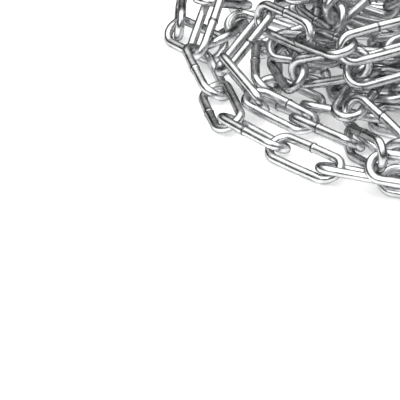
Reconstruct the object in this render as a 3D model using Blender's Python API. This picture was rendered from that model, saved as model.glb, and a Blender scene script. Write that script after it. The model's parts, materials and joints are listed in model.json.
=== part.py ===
"""A heap of long-link steel chain, dropped on the floor in loose courses.

One length of welded round-steel chain. Every link is the same ring of round
wire: two straight legs joined by two round bows, each threaded through the
next. The frame's origin is under the middle of the heap, on the floor, with
+X to the right, +Y to the back and +Z up.
"""

import math

import bmesh
import bpy
import numpy as np

# Lengths below are in millimetres, and the model is built in metres.
MM = 0.001

# The chain, a long-link pattern
WIRE_DIAMETER = 4.0
PITCH = 32.0            # inside length of a link
LINK_WIDTH = 16.0       # over both legs
CHAIN_LENGTH = 3008.0   # the length that is sold, in whole links

# How the links lie
CLEARANCE = 0.3         # between wires that rest on each other
BEARING = 0.5           # how deep the bows of a joined run bed into each other
LEAN = 45.0             # degrees that links lean from flat, by turns left and right
LEAN_SPREAD = 8.0       # degrees of scatter in the lean
FIRST_HEIGHT = 7.0      # middle of a link that leans on the floor
CROSSING_WIDTH = 20.0   # how near two stretches come in plan before one is raised
CROSSING_RISE = 17.0    # how far it is raised before the heap is let down
STEEPEST = 10.0         # most that one link is raised above the next
TIGHTEST = 26.0         # least spacing of a slack link, whose neighbours lie inside its bows
FOOTING = 0.25          # how much a link gives way to one that lies on it
REACH = 1.5             # how far beyond resting a meeting of two wires is looked for
OVERSHOOT = 1.4         # how much of its mean correction a link takes in one pass
LONGEST_SHIFT = 0.8     # in one pass
LARGEST_TURN = 0.08     # in one pass, in radians
FULL_PRESS = 0.5        # depth of press at which a link no longer comes down
ROUTE_PASSES = 400      # for evening out the joints' spacing
ROUTE_STEP = 0.3        # share of a spacing's error that is taken off in one pass
SEED = 4

# How finely the wire is faceted
BOW_STEPS = 5
WIRE_STEPS = 2

WIRE_COLOUR = (0.62, 0.63, 0.64, 1.0)

WIRE_RADIUS = WIRE_DIAMETER / 2
BOW_RADIUS = (LINK_WIDTH - WIRE_DIAMETER) / 2
LEG_HALF = PITCH / 2 + WIRE_RADIUS - BOW_RADIUS
LINK_COUNT = round(CHAIN_LENGTH / PITCH)
REST_DISTANCE = WIRE_DIAMETER + CLEARANCE
BEARING_DISTANCE = WIRE_DIAMETER - BEARING

# How the heap is let down, in stages: passes, drop in a pass at the start and at the
# end of the stage, and how firmly the links keep their places in plan
STAGES = (
    (30, 0.0, 0.0, 0.02),
    (400, 0.4, 0.4, 0.01),
    (200, 0.4, 0.0, 0.005),
    (150, 0.0, 0.0, 0.0),
)

# Where the joints between the links lie in plan, by hand. The chain goes down in
# this order, so what comes later lies on what came before.
ROUTE = [
    # Free end, down the left side and over the floor of the middle
    (-59, 152), (-55, 115), (-44, 95), (-31, 124), (-6, 112), (2, 84), (26, 70),
    (54, 62), (74, 84), (50, 94), (22, 98), (14, 124), (40, 126), (66, 112),
    (78, 136), (52, 146), (24, 150), (-2, 142), (-24, 142),
    # The front edge, from the back left round to the right
    (-40, 118), (-46, 88), (-40, 65), (-31, 33), (-10, 12),
    (12, -8), (36, -14), (62, -24), (84, -2),
    # Loops that lean on the first courses
    (60, 24), (29, 37), (-1, 49), (-15, 65), (-20, 94), (8, 104), (36, 98),
    (62, 104), (78, 80), (70, 50), (42, 42), (18, 58), (8, 86), (16, 114),
    (44, 120), (68, 106), (78, 78), (62, 54), (34, 54), (18, 27), (39, 9),
    (68, 2), (84, 24),
    # A short strand over the front, and back under the middle
    (82, 52), (60, 68), (40, 56), (16, 68), (-14, 78), (2, 50), (22, 43), (52, 46),
    (78, 52), (84, 24), (78, -4), (62, -24),
    # The second course along the front, and the hook over the left side
    (33, -20), (17, 18), (-4, 33), (-22, 53), (-25, 75), (-21, 86), (1, 64), (18, 38), (44, 35),
    # The top of the heap
    (66, 76), (78, 50), (62, 28), (46, 52), (58, 80), (38, 98), (12, 110), (-8, 128),
    (18, 132), (46, 126), (70, 108), (78, 78), (58, 66), (38, 84), (16, 72), (0, 94),
    (26, 110), (56, 108), (76, 86), (50, 72), (46, 98), (20, 104), (-5, 74),
]

# Single links that lean otherwise, in degrees from flat
LEANS = {
    0: 70, 1: 30, 2: -60,
    19: 68, 56: 60, 57: -30, 63: -45, 64: 59, 65: 19, 66: -42, 67: 20, 68: 80, 69: -5, 70: 55,
}

# Hidden stretches that are one solid each: the first link, and how many follow on
# with their bows bedded into each other.
RUNS = {7: 7, 15: 2, 26: 2, 35: 3, 41: 4, 49: 4, 58: 4, 71: 7, 78: 7, 87: 6}


def route_points():
    """The joints' places: raised where the chain crosses itself, and a link apart."""
    plan = np.array(ROUTE[:LINK_COUNT + 1], dtype=float)
    starts, runs = plan[:-1], plan[1:] - plan[:-1]
    count = len(starts)
    later, earlier = np.tril_indices(count, -2)
    p, q = nearest(starts[later], runs[later], starts[earlier], runs[earlier])
    crossed = np.sqrt(((p - q) ** 2).sum(-1)) < CROSSING_WIDTH
    later, earlier = later[crossed], earlier[crossed]
    heights = np.full(count, FIRST_HEIGHT)
    for _ in range(count):
        np.maximum.at(heights, later, heights[earlier] + CROSSING_RISE)
        heights[1:] = np.maximum(heights[1:], heights[:-1] - STEEPEST)
        heights[:-1] = np.maximum(heights[:-1], heights[1:] - STEEPEST)
    joints = np.concatenate([heights[:1], (heights[1:] + heights[:-1]) / 2, heights[-1:]])
    points = np.column_stack([plan, joints])
    # The links of a run are drawn tight
    least = np.full((count, 1), TIGHTEST)
    for first, links in RUNS.items():
        least[first:first + links] = PITCH
    for _ in range(ROUTE_PASSES):
        gap = points[1:] - points[:-1]
        length = np.sqrt((gap * gap).sum(-1, keepdims=True))
        fix = gap * (length - np.clip(length, least, PITCH)) / length * ROUTE_STEP
        fix[:, 2] = 0
        points[:-1] += fix
        points[1:] -= fix
    return points


def unit(v):
    return v / np.sqrt((v * v).sum(axis=-1, keepdims=True))


def matrices(q):
    """Rotation matrices of unit quaternions, whose columns are length, width and normal."""
    w, x, y, z = q.T
    return np.stack([
        np.stack([1 - 2 * (y * y + z * z), 2 * (x * y - w * z), 2 * (x * z + w * y)], -1),
        np.stack([2 * (x * y + w * z), 1 - 2 * (x * x + z * z), 2 * (y * z - w * x)], -1),
        np.stack([2 * (x * z - w * y), 2 * (y * z + w * x), 1 - 2 * (x * x + y * y)], -1),
    ], -2)


def quaternion(length, width, normal):
    """Quaternion of the frame with these three axes."""
    m = np.array([length, width, normal]).T
    k = [1 + m[0, 0] + m[1, 1] + m[2, 2], 1 + m[0, 0] - m[1, 1] - m[2, 2],
         1 - m[0, 0] + m[1, 1] - m[2, 2], 1 - m[0, 0] - m[1, 1] + m[2, 2]]
    i = int(np.argmax(k))
    s = 2 * math.sqrt(k[i])
    if i == 0:
        q = (s / 4, (m[2, 1] - m[1, 2]) / s, (m[0, 2] - m[2, 0]) / s, (m[1, 0] - m[0, 1]) / s)
    elif i == 1:
        q = ((m[2, 1] - m[1, 2]) / s, s / 4, (m[0, 1] + m[1, 0]) / s, (m[0, 2] + m[2, 0]) / s)
    elif i == 2:
        q = ((m[0, 2] - m[2, 0]) / s, (m[0, 1] + m[1, 0]) / s, s / 4, (m[1, 2] + m[2, 1]) / s)
    else:
        q = ((m[1, 0] - m[0, 1]) / s, (m[0, 2] + m[2, 0]) / s, (m[1, 2] + m[2, 1]) / s, s / 4)
    return np.array(q)


def link_outline():
    """Centre line of the wire, in the link's own plane: two bows and two legs."""
    points = []
    for side in (1, -1):
        for i in range(BOW_STEPS + 1):
            angle = math.pi * (i / BOW_STEPS - 0.5)
            points.append((side * (LEG_HALF + BOW_RADIUS * math.cos(angle)),
                           side * BOW_RADIUS * math.sin(angle), 0.0))
    return np.array(points)


def lay_links(points):
    """Each link along its stretch of the route, leaning by turns to either side."""
    rng = np.random.default_rng(SEED)
    centres, quats = [], []
    for i, (a, b) in enumerate(zip(points[:-1], points[1:])):
        length = unit(b - a)
        side = unit(np.cross(length, (0.0, 0.0, 1.0)))
        up = np.cross(side, length)
        lean = math.radians(LEANS.get(i, LEAN if i % 2 else -LEAN) + rng.uniform(-1, 1) * LEAN_SPREAD)
        normal = math.cos(lean) * up + math.sin(lean) * side
        centres.append((a + b) / 2)
        quats.append(quaternion(length, np.cross(normal, length), normal))
    return np.array(centres), np.array(quats)


def nearest(p1, d1, p2, d2):
    """Nearest points of pairs of straight stretches, given as start and run."""
    r = p1 - p2
    a = (d1 * d1).sum(-1)
    e = (d2 * d2).sum(-1)
    f = (d2 * r).sum(-1)
    c = (d1 * r).sum(-1)
    b = (d1 * d2).sum(-1)
    denominator = a * e - b * b
    skew = denominator > 1e-6
    s = np.where(skew, np.clip((b * f - c * e) / np.where(skew, denominator, 1.0), 0, 1), 0.5)
    t = np.clip((b * s + f) / e, 0, 1)
    s = np.clip((b * t - c) / a, 0, 1)
    return p1 + d1 * s[:, None], p2 + d2 * t[:, None]


class Heap:
    """The links as thin centre lines that keep a wire's thickness apart."""

    def __init__(self, centres, quats):
        self.outline = link_outline()
        self.centres = centres.copy()
        self.home = centres.copy()
        self.quats = quats.copy()
        count = len(centres)
        self.count = count
        self.i, self.j = np.triu_indices(count, 1)
        # Links whose far bow is bedded into the next link
        self.bedded = np.zeros(count, dtype=bool)
        for first, links in RUNS.items():
            self.bedded[first:first + links - 1] = True
        # Ease of turning about the length, the width and the normal
        ends = np.roll(self.outline, -1, axis=0)
        weights = np.sqrt(((ends - self.outline) ** 2).sum(-1))
        squares = (self.outline ** 2 + self.outline * ends + ends ** 2) / 3
        along, across, _ = (squares * weights[:, None]).sum(0) / weights.sum()
        self.turn = 1 / np.array([across, along, along + across])

    def lines(self):
        frames = matrices(self.quats)
        points = self.centres[:, None, :] + np.einsum("nij,kj->nki", frames, self.outline)
        return frames, points

    def extent(self):
        """Lowest and highest corner of the box around the wires."""
        points = self.lines()[1].reshape(-1, 3)
        return points.min(0) - WIRE_RADIUS, points.max(0) + WIRE_RADIUS

    def meetings(self, points, reach):
        """Pairs of stretches of two links that are nearer than reach."""
        gap = self.centres[self.i] - self.centres[self.j]
        near = (gap * gap).sum(-1) < (PITCH + 2 * WIRE_DIAMETER + reach) ** 2
        i, j = self.i[near], self.j[near]
        runs = np.roll(points, -1, axis=1) - points
        middles = points + runs / 2
        half = np.sqrt((runs * runs).sum(-1)) / 2
        apart = middles[i][:, :, None, :] - middles[j][:, None, :, :]
        limit = half[i][:, :, None] + half[j][:, None, :] + reach
        k, m, n = np.nonzero((apart * apart).sum(-1) < limit ** 2)
        i, j = i[k], j[k]
        p, q = nearest(points[i, m], runs[i, m], points[j, n], runs[j, n])
        gap = p - q
        distance = np.sqrt((gap * gap).sum(-1))
        near = distance < reach
        return i[near], j[near], p[near], q[near], distance[near]

    def step(self, drop, hold):
        """Move every link a little: off what it presses on, and down by the drop."""
        frames, points = self.lines()
        i, j, p, q, distance = self.meetings(points, REST_DISTANCE + REACH)
        bedded = self.bedded[i] & (j == i + 1)
        rest = np.where(bedded, BEARING_DISTANCE, REST_DISTANCE)
        press = np.maximum(rest - distance, 0.0)
        # Bedded bows are also drawn together where they are nearest
        order = np.nonzero(bedded)[0]
        order = order[np.lexsort((distance[order], i[order]))]
        closest = order[np.unique(i[order], return_index=True)[1]]
        press[closest] = rest[closest] - distance[closest]
        used = press != 0
        i, j, p, q, distance, press = i[used], j[used], p[used], q[used], distance[used], press[used]
        normal = (p - q) / np.maximum(distance, 1e-6)[:, None]

        inertia = np.einsum("nij,j,nkj->nik", frames, self.turn, frames)
        moves = np.zeros((self.count, 3))
        turns = np.zeros((self.count, 3))
        touched = np.zeros(self.count)
        pressed = np.zeros(self.count)
        arm_i, arm_j = p - self.centres[i], q - self.centres[j]
        twist_i = np.cross(arm_i, normal)
        twist_j = np.cross(arm_j, normal)
        spin_i = np.einsum("nij,nj->ni", inertia[i], twist_i)
        spin_j = np.einsum("nij,nj->ni", inertia[j], twist_j)
        upright = np.abs(normal[:, 2])
        give = 1 - (1 - FOOTING) * upright
        give_i = np.where(normal[:, 2] > 0, 1.0, give)
        give_j = np.where(normal[:, 2] > 0, give, 1.0)
        weight = (give_i * (1 + (twist_i * spin_i).sum(-1))
                  + give_j * (1 + (twist_j * spin_j).sum(-1)))
        push = press / weight
        for index, share_of, spin in ((i, push * give_i, spin_i), (j, -push * give_j, spin_j)):
            np.add.at(moves, index, (share_of * np.abs(press))[:, None] * normal)
            np.add.at(turns, index, (share_of * np.abs(press))[:, None] * spin)
            np.add.at(touched, index, np.abs(press))
            np.maximum.at(pressed, index, press)

        # The floor
        sunk = WIRE_RADIUS - points[:, :, 2]
        k, m = np.nonzero(sunk > 0)
        arm = points[k, m] - self.centres[k]
        upward = np.zeros_like(arm)
        upward[:, 2] = 1
        twist = np.cross(arm, upward)
        spin = np.einsum("nij,nj->ni", inertia[k], twist)
        push = (sunk[k, m] ** 2 / (1 + (twist * spin).sum(-1)))[:, None]
        np.add.at(moves, k, push * upward)
        np.add.at(turns, k, push * spin)
        np.add.at(touched, k, sunk[k, m])
        np.maximum.at(pressed, k, sunk[k, m])

        ease = (OVERSHOOT / np.maximum(touched, 1e-9))[:, None]
        moves *= ease
        turns *= ease
        size = np.sqrt((moves * moves).sum(-1, keepdims=True))
        moves *= np.minimum(1, LONGEST_SHIFT / np.maximum(size, 1e-9))
        size = np.sqrt((turns * turns).sum(-1, keepdims=True))
        turns *= np.minimum(1, LARGEST_TURN / np.maximum(size, 1e-9))

        self.centres += moves
        self.centres[:, 2] -= drop * np.clip(1 - pressed / FULL_PRESS, 0, 1)
        self.centres[:, :2] += hold * (self.home - self.centres)[:, :2]
        w, v = self.quats[:, :1], self.quats[:, 1:]
        change = np.concatenate([-(turns * v).sum(-1, keepdims=True),
                                 w * turns + np.cross(turns, v)], axis=1) / 2
        self.quats = unit(self.quats + change)
        # Rounding keeps the heap the same on every computer
        self.centres = np.round(self.centres, 7)
        self.quats = unit(np.round(self.quats, 9))

    def let_down(self):
        for passes, start, end, hold in STAGES:
            for n in range(passes):
                self.step(start + (end - start) * n / passes, hold)


def new_material(name, colour, roughness, metallic):
    material = bpy.data.materials.new(name)
    material.use_nodes = True
    shader = material.node_tree.nodes["Principled BSDF"]
    shader.inputs["Base Color"].default_value = colour
    shader.inputs["Roughness"].default_value = roughness
    shader.inputs["Metallic"].default_value = metallic
    return material


def link_mesh(material):
    """One link: round wire along its outline."""
    curve = bpy.data.curves.new("link_wire", "CURVE")
    curve.dimensions = "3D"
    curve.bevel_depth = WIRE_RADIUS * MM
    curve.bevel_resolution = WIRE_STEPS
    outline = link_outline() * MM
    spline = curve.splines.new("POLY")
    spline.points.add(len(outline) - 1)
    for point, place in zip(spline.points, outline):
        point.co = (*place, 1.0)
    spline.use_cyclic_u = True
    wire = bpy.data.objects.new("link_wire", curve)
    bpy.context.scene.collection.objects.link(wire)
    evaluated = wire.evaluated_get(bpy.context.evaluated_depsgraph_get())
    mesh = bpy.data.meshes.new_from_object(evaluated)
    bpy.data.objects.remove(wire)
    mesh.name = "link"
    mesh.materials.clear()
    mesh.materials.append(material)
    mesh.shade_smooth()
    return mesh


def link_object(name, mesh, collection, place, turn):
    obj = bpy.data.objects.new(name, mesh)
    obj.location = place
    obj.rotation_mode = "QUATERNION"
    obj.rotation_quaternion = turn
    collection.objects.link(obj)
    return obj


def without_voids(mesh):
    """Fill the small closed voids that bedded bows can leave between them."""
    shape = bmesh.new()
    shape.from_mesh(mesh)
    shape.normal_update()
    left = set(shape.faces)
    voids = []
    while left:
        shell, front, volume = [], [left.pop()], 0.0
        while front:
            face = front.pop()
            shell.append(face)
            volume += face.calc_center_median().dot(face.normal) * face.calc_area() / 3
            near = {other for edge in face.edges for other in edge.link_faces} & left
            left -= near
            front.extend(near)
        if volume < 0:
            voids.extend(shell)
    bmesh.ops.delete(shape, geom=voids, context="FACES")
    shape.to_mesh(mesh)
    shape.free()
    return mesh


def join(first, others):
    """Union the links of a run into its first one."""
    for other in others:
        modifier = first.modifiers.new(other.name, "BOOLEAN")
        modifier.operation = "UNION"
        modifier.solver = "EXACT"
        modifier.object = other
    evaluated = first.evaluated_get(bpy.context.evaluated_depsgraph_get())
    first.data = without_voids(bpy.data.meshes.new_from_object(evaluated))
    first.modifiers.clear()
    for other in others:
        bpy.data.objects.remove(other)


def main():
    for obj in list(bpy.data.objects):
        bpy.data.objects.remove(obj)
    chain = bpy.data.collections.new("chain_heap")
    bpy.context.scene.collection.children.link(chain)
    mesh = link_mesh(new_material("zinc_plated_steel", WIRE_COLOUR, 0.3, 1.0))

    heap = Heap(*lay_links(route_points()))
    heap.let_down()
    low, high = heap.extent()
    origin = np.array([(low[0] + high[0]) / 2, (low[1] + high[1]) / 2, low[2]])
    places = (heap.centres - origin) * MM

    n = 0
    while n < heap.count:
        links = min(RUNS.get(n, 1), heap.count - n)
        name = f"link_{n + 1:02d}" if links == 1 else f"links_{n + 1:02d}_to_{n + links:02d}"
        first = link_object(name, mesh, chain, places[n], heap.quats[n])
        if links > 1:
            join(first, [link_object(f"member_{k + 1:02d}", mesh, chain, places[k], heap.quats[k])
                         for k in range(n + 1, n + links)])
        n += links


main()
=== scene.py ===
"""Looks of the chain heap: smooth wire with welds, bright zinc plate, a white table and soft light.

Every link's place and lie is read from its solid in the frame, and a finer link is
built there. Lengths are in metres unless a line says otherwise, and +Z is up.
"""

import json
import math

import bpy
import numpy as np
from mathutils import Matrix, Vector

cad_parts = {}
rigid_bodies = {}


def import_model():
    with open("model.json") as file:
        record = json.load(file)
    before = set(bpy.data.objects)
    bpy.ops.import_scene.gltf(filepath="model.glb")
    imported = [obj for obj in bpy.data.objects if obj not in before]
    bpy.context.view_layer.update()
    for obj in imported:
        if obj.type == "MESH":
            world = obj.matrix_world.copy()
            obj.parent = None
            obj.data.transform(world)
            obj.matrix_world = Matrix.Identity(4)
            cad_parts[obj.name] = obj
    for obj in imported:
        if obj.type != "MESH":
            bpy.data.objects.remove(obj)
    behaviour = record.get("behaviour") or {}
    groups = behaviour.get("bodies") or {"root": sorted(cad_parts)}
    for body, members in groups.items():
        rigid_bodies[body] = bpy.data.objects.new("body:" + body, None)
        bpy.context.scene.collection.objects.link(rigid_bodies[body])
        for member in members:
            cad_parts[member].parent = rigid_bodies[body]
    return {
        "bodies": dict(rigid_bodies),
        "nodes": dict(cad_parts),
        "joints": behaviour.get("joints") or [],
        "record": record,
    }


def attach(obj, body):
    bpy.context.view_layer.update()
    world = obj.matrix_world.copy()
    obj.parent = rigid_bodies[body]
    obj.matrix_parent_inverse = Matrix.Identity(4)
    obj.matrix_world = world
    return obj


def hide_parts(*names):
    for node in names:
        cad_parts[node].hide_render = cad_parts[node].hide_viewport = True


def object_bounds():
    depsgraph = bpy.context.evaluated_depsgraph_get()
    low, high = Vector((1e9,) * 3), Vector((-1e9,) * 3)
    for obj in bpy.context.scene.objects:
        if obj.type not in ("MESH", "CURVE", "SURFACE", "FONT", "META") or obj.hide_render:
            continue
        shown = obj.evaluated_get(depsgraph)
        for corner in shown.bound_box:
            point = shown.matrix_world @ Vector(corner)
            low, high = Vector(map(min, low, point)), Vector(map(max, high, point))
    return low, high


MM = 0.001

# The link, as the solids have it
WIRE_RADIUS = 2.0 * MM
BOW_RADIUS = 6.0 * MM
LEG = 24.0 * MM
LEG_TOLERANCE = 0.7 * MM    # the wire's mitres make its edges longer outside and shorter inside
MERGE = 0.001 * MM          # points nearer than this are one
PLACE_TOLERANCE = 0.1 * MM  # how far a found leg or link may be out of place
SAME_LEG = 0.99999          # cosine between two edges of one leg
SAME_LINK = 0.9999          # cosine between the two legs of one link

# The finer link
SIDES = 20
BOW_STEPS = 16
PLAIN_LEG = (-10, -7, -4, -1.5, 1.5, 4, 7, 10)
WELD_LEG = (-10, -7, -4.5, -2.6, -1.7, -1.1, -0.8, -0.6, -0.4, -0.2, 0.0,
            0.2, 0.4, 0.6, 0.8, 1.1, 1.7, 2.6, 4.5, 7, 10)
WELD_WIDTH = 0.5 * MM       # half width of the raised ring
WELD_HEIGHT = 0.24 * MM
UPSET_LENGTH = 2.4 * MM     # the wire is a little thicker on both sides of its weld
UPSET_HEIGHT = 0.06 * MM
KINK = 0.16 * MM            # how far the wire's two ends are out of line at the weld
KINK_LENGTH = 0.4 * MM
LEG_BULGE = 0.15 * MM       # less than the space between resting links
WELD_SEED = 11              # for each weld's side and kink

# The camera, from the photograph: it looks down at this angle from this far
ELEVATION = 30.0
DISTANCE = 1.0
PIXELS_PER_METRE = 2400.0
IMAGE_WIDTH = 400.0
SENSOR = 36.0
AIM_PIXEL = (304.0, 171.0)
# The point of the floor that shows there, in millimetres from the low corner of the heap's box
AIM_FROM_CORNER = (64.0, 31.9, 0.0)

FLOOR_HALF = 4.0            # half the table's width
FLOOR_DROP = 0.05 * MM      # how far the table lies below the heap


def new_material(name):
    material = bpy.data.materials.new(name)
    material.use_nodes = True
    nodes, links = material.node_tree.nodes, material.node_tree.links
    return material, nodes, links, nodes["Principled BSDF"]


def bright_zinc():
    """Zinc plate over drawn wire: glossy and cloudy, dull at the weld."""
    material, nodes, links, shader = new_material("bright_zinc_plate")
    shader.inputs["Metallic"].default_value = 1.0
    # The plate turns darker where it is seen at a flat angle
    shader.inputs["Specular Tint"].default_value = (0.12, 0.12, 0.12, 1.0)
    place = nodes.new("ShaderNodeTexCoord")

    cloud = nodes.new("ShaderNodeTexNoise")
    cloud.inputs["Scale"].default_value = 160.0
    cloud.inputs["Detail"].default_value = 5.0
    cloud.inputs["Roughness"].default_value = 0.6
    links.new(place.outputs["Object"], cloud.inputs["Vector"])

    grain = nodes.new("ShaderNodeTexNoise")
    grain.inputs["Scale"].default_value = 1500.0
    grain.inputs["Detail"].default_value = 3.0
    links.new(place.outputs["Object"], grain.inputs["Vector"])

    weld = nodes.new("ShaderNodeAttribute")
    weld.attribute_name = "weld"

    tone = nodes.new("ShaderNodeValToRGB")
    tone.color_ramp.elements[0].position = 0.30
    tone.color_ramp.elements[0].color = (0.60, 0.605, 0.61, 1.0)
    tone.color_ramp.elements[1].position = 0.70
    tone.color_ramp.elements[1].color = (0.96, 0.965, 0.97, 1.0)
    links.new(cloud.outputs["Fac"], tone.inputs["Fac"])
    dull = nodes.new("ShaderNodeMix")
    dull.data_type = "RGBA"
    dull.inputs["B"].default_value = (0.26, 0.265, 0.27, 1.0)
    links.new(weld.outputs["Fac"], dull.inputs["Factor"])
    links.new(tone.outputs["Color"], dull.inputs["A"])
    links.new(dull.outputs["Result"], shader.inputs["Base Color"])

    rough = nodes.new("ShaderNodeMapRange")
    rough.inputs["From Min"].default_value = 0.25
    rough.inputs["From Max"].default_value = 0.75
    rough.inputs["To Min"].default_value = 0.20
    rough.inputs["To Max"].default_value = 0.36
    links.new(cloud.outputs["Fac"], rough.inputs["Value"])
    links.new(rough.outputs["Result"], shader.inputs["Roughness"])

    mixed = nodes.new("ShaderNodeMath")
    mixed.operation = "MULTIPLY_ADD"
    mixed.inputs[1].default_value = 0.25
    links.new(grain.outputs["Fac"], mixed.inputs[0])
    links.new(cloud.outputs["Fac"], mixed.inputs[2])
    bump = nodes.new("ShaderNodeBump")
    bump.inputs["Strength"].default_value = 0.25
    bump.inputs["Distance"].default_value = 0.25 * MM
    links.new(mixed.outputs["Value"], bump.inputs["Height"])
    links.new(bump.outputs["Normal"], shader.inputs["Normal"])
    return material


def mesh_edges(mesh):
    """Places of the mesh's points, with doubles merged, and its edges as pairs of them."""
    count = len(mesh.vertices)
    places = np.empty(count * 3, dtype=np.float32)
    mesh.vertices.foreach_get("co", places)
    places = places.reshape(-1, 3).astype(float)
    _, first, merged = np.unique(np.round(places / MERGE), axis=0,
                                 return_index=True, return_inverse=True)
    edges = np.empty(len(mesh.edges) * 2, dtype=np.int32)
    mesh.edges.foreach_get("vertices", edges)
    edges = np.sort(merged.ravel()[edges].reshape(-1, 2), axis=1)
    edges = np.unique(edges[edges[:, 0] != edges[:, 1]], axis=0)
    return places[first], edges


def unit(v):
    return v / np.linalg.norm(v, axis=-1, keepdims=True)


def find_legs(mesh):
    """Middle and direction of every straight leg, from its long parallel edges."""
    places, edges = mesh_edges(mesh)
    runs = places[edges[:, 1]] - places[edges[:, 0]]
    lengths = np.linalg.norm(runs, axis=1)
    long = np.abs(lengths - LEG) < LEG_TOLERANCE
    runs = unit(runs[long])
    middles = (places[edges[long, 1]] + places[edges[long, 0]]) / 2
    legs = []
    left = np.ones(len(runs), dtype=bool)
    for k in range(len(runs)):
        if not left[k]:
            continue
        gap = middles - middles[k]
        along = np.abs(gap @ runs[k])
        across = np.linalg.norm(gap - (gap @ runs[k])[:, None] * runs[k], axis=1)
        same = (left & (np.abs(runs @ runs[k]) > SAME_LEG) & (along < PLACE_TOLERANCE)
                & (across < 2.1 * WIRE_RADIUS))
        left &= ~same
        if same.sum() < 3:
            continue
        direction = unit((runs[same] * np.sign(runs[same] @ runs[k])[:, None]).sum(0))
        # The edges lie on a circle round the leg's middle
        points = middles[same]
        mean = points.mean(0)
        u = unit(np.cross(direction, (0.3, 0.5, 0.8)))
        v = np.cross(direction, u)
        x, y = (points - mean) @ u, (points - mean) @ v
        fit = np.linalg.lstsq(np.column_stack([2 * x, 2 * y, np.ones(len(x))]),
                              x * x + y * y, rcond=None)[0]
        legs.append((mean + fit[0] * u + fit[1] * v, direction))
    return legs


def find_links(mesh):
    """Centre, length axis and width axis of every link in a solid."""
    legs = find_legs(mesh)
    found, used = [], set()
    for a in range(len(legs)):
        for b in range(a + 1, len(legs)):
            if a in used or b in used:
                continue
            gap = legs[b][0] - legs[a][0]
            if (abs(np.linalg.norm(gap) - 2 * BOW_RADIUS) < PLACE_TOLERANCE
                    and abs(legs[a][1] @ legs[b][1]) > SAME_LINK
                    and abs(gap @ legs[a][1]) < PLACE_TOLERANCE):
                used.update((a, b))
                length = legs[a][1]
                width = unit(gap - (gap @ length) * length)
                found.append(((legs[a][0] + legs[b][0]) / 2, length, width))
    return found


def link_stations(rng):
    """Centre line of one link in its own plane, with the wire's radius and weld mark there."""
    side = rng.choice((1, -1))
    kink = KINK * rng.uniform(-1, 1)
    place, radius, mark = [], [], []

    def leg(steps, y, welded):
        for step in steps:
            x = step * MM * (-1 if y > 0 else 1)
            share = 1 - (x / (LEG / 2)) ** 2
            swell = LEG_BULGE * share * share * math.copysign(1, y)
            r, m = WIRE_RADIUS, 0.0
            if welded:
                ring = math.exp(-(x / WELD_WIDTH) ** 4)
                r += WELD_HEIGHT * ring + UPSET_HEIGHT * math.exp(-(x / UPSET_LENGTH) ** 2)
                swell += kink * math.tanh(x / KINK_LENGTH) * share
                m = ring
            place.append((x, y + swell, 0.0))
            radius.append(r)
            mark.append(m)

    def bow(x, start):
        for k in range(BOW_STEPS + 1):
            angle = start + math.pi * k / BOW_STEPS
            place.append((x + BOW_RADIUS * math.cos(angle), BOW_RADIUS * math.sin(angle), 0.0))
            radius.append(WIRE_RADIUS)
            mark.append(0.0)

    bow(LEG / 2, -math.pi / 2)
    leg(WELD_LEG if side > 0 else PLAIN_LEG, BOW_RADIUS, side > 0)
    bow(-LEG / 2, math.pi / 2)
    leg(WELD_LEG if side < 0 else PLAIN_LEG, -BOW_RADIUS, side < 0)
    return np.array(place), np.array(radius), np.array(mark)


def link_wire(centre, length, width, rng):
    """Points, faces and weld marks of one link."""
    place, radius, mark = link_stations(rng)
    count = len(place)
    ahead = np.roll(place, -1, axis=0) - np.roll(place, 1, axis=0)
    tangent = unit(ahead)
    flat = np.array((0.0, 0.0, 1.0))
    outward = np.cross(tangent, flat)
    angles = np.arange(SIDES) * 2 * math.pi / SIDES
    ring = (np.cos(angles)[None, :, None] * outward[:, None, :]
            + np.sin(angles)[None, :, None] * flat)
    points = place[:, None, :] + radius[:, None, None] * ring
    points = points.reshape(-1, 3)
    frame = np.column_stack([length, width, np.cross(length, width)])
    points = points @ frame.T + centre
    s, k = np.meshgrid(np.arange(count), np.arange(SIDES), indexing="ij")
    t, n = (s + 1) % count, (k + 1) % SIDES
    faces = np.stack([s * SIDES + k, s * SIDES + n, t * SIDES + n, t * SIDES + k], -1)
    return points, faces.reshape(-1, 4), np.repeat(mark, SIDES)


def dress(node, obj, material, low, high, rng):
    """A finer piece in the place of one solid."""
    links = find_links(obj.data)
    parts = node.split("_")
    wanted = 1 if len(parts) == 2 else int(parts[3]) - int(parts[1]) + 1
    if len(links) != wanted:
        print("links found in", node, len(links), "of", wanted)
    points, faces, marks, base = [], [], [], 0
    for centre, length, width in links:
        p, f, m = link_wire(centre, length, width, rng)
        points.append(p)
        faces.append(f + base)
        marks.append(m)
        base += len(p)
    points = np.clip(np.concatenate(points), low, high)
    faces = np.concatenate(faces)
    mesh = bpy.data.meshes.new("wire_of_" + node)
    mesh.from_pydata(points.tolist(), [], faces.tolist())
    mesh.update()
    mesh.shade_smooth()
    weld = mesh.attributes.new("weld", "FLOAT", "POINT")
    weld.data.foreach_set("value", np.concatenate(marks).astype(np.float32))
    mesh.materials.append(material)
    piece = bpy.data.objects.new("wire_of_" + node, mesh)
    bpy.context.scene.collection.objects.link(piece)
    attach(piece, "root")
    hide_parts(node)
    return piece


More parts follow.
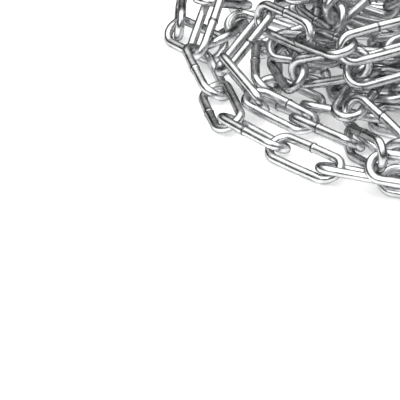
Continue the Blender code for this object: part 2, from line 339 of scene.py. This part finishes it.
def add_floor():
    material, nodes, links, shader = new_material("white_table")
    shader.inputs["Roughness"].default_value = 0.6
    # A light table: it stays white between the links
    shader.inputs["Emission Color"].default_value = (1.0, 1.0, 1.0, 1.0)
    shader.inputs["Emission Strength"].default_value = 0.25
    noise = nodes.new("ShaderNodeTexNoise")
    noise.inputs["Scale"].default_value = 40.0
    tone = nodes.new("ShaderNodeValToRGB")
    tone.color_ramp.elements[0].color = (0.90, 0.90, 0.90, 1.0)
    tone.color_ramp.elements[1].color = (0.92, 0.92, 0.92, 1.0)
    links.new(noise.outputs["Fac"], tone.inputs["Fac"])
    links.new(tone.outputs["Color"], shader.inputs["Base Color"])
    mesh = bpy.data.meshes.new("table")
    corners = ((-1, -1), (1, -1), (1, 1), (-1, 1))
    mesh.from_pydata([(x * FLOOR_HALF, y * FLOOR_HALF, 0) for x, y in corners],
                     [], [(0, 1, 2, 3)])
    mesh.materials.append(material)
    floor = bpy.data.objects.new("table", mesh)
    floor.location = (0, 0, -FLOOR_DROP)
    bpy.context.scene.collection.objects.link(floor)


def add_area(name, place, target, size, energy):
    data = bpy.data.lights.new(name, "AREA")
    data.shape = "RECTANGLE"
    data.size, data.size_y = size
    data.energy = energy
    light = bpy.data.objects.new(name, data)
    light.location = place
    light.rotation_euler = (Vector(target) - Vector(place)).to_track_quat("-Z", "Y").to_euler()
    bpy.context.scene.collection.objects.link(light)


def add_world():
    """A bright room with a dark band low down, which draws the wires' edges."""
    world = bpy.data.worlds.new("studio")
    bpy.context.scene.world = world
    world.use_nodes = True
    nodes, links = world.node_tree.nodes, world.node_tree.links
    back = nodes["Background"]
    back.inputs["Strength"].default_value = 1.0
    place = nodes.new("ShaderNodeTexCoord")
    split = nodes.new("ShaderNodeSeparateXYZ")
    ramp = nodes.new("ShaderNodeValToRGB")
    elements = ramp.color_ramp.elements
    elements[0].position, elements[0].color = 0.0, (0.02, 0.02, 0.02, 1)
    elements[1].position, elements[1].color = 1.0, (0.8, 0.8, 0.8, 1)
    for position, value in ((0.34, 0.01), (0.46, 0.20), (0.6, 0.45)):
        element = elements.new(position)
        element.color = (value, value, value, 1)
    links.new(place.outputs["Generated"], split.inputs["Vector"])
    links.new(split.outputs["Z"], ramp.inputs["Fac"])
    links.new(ramp.outputs["Color"], back.inputs["Color"])


def add_camera(low):
    data = bpy.data.cameras.new("camera")
    data.sensor_width = SENSOR
    data.lens = SENSOR * PIXELS_PER_METRE * DISTANCE / IMAGE_WIDTH
    camera = bpy.data.objects.new("camera", data)
    tilt = math.radians(ELEVATION)
    right = Vector((1, 0, 0))
    up = Vector((0, math.sin(tilt), math.cos(tilt)))
    back = Vector((0, -math.cos(tilt), math.sin(tilt)))
    aim = Vector(low) + Vector(AIM_FROM_CORNER) * MM
    aim.z = 0
    # The heap is off the picture's middle, so the camera turns a little from it
    across = (IMAGE_WIDTH / 2 - AIM_PIXEL[0]) / PIXELS_PER_METRE / DISTANCE
    above = (AIM_PIXEL[1] - IMAGE_WIDTH / 2) / PIXELS_PER_METRE / DISTANCE
    ahead = across * right + above * up - back
    turn = (-back).rotation_difference(ahead)
    camera.matrix_world = (Matrix.Translation(aim + back * DISTANCE)
                           @ turn.to_matrix().to_4x4()
                           @ Matrix((right, up, back)).transposed().to_4x4())
    bpy.context.scene.collection.objects.link(camera)
    bpy.context.scene.camera = camera


def plain(box):
    return [[float(x) for x in corner] for corner in box]


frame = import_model()
bpy.context.view_layer.update()
cad_box = plain(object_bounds())
low, high = np.array(cad_box[0]), np.array(cad_box[1])
zinc = bright_zinc()
dice = np.random.default_rng(WELD_SEED)
for node in sorted(frame["nodes"]):
    dress(node, frame["nodes"][node], zinc, low, high, dice)
add_floor()
add_world()
add_area("top", (0.0, 0.0, 1.0), (0, 0.02, 0.0), (1.8, 1.4), 5.0)
add_area("fill", (-0.6, -0.9, 0.8), (0, 0, 0.02), (0.8, 0.5), 1.5)
add_camera(low)
scene = bpy.context.scene
scene.view_settings.view_transform = "Standard"
scene.view_settings.look = "High Contrast"
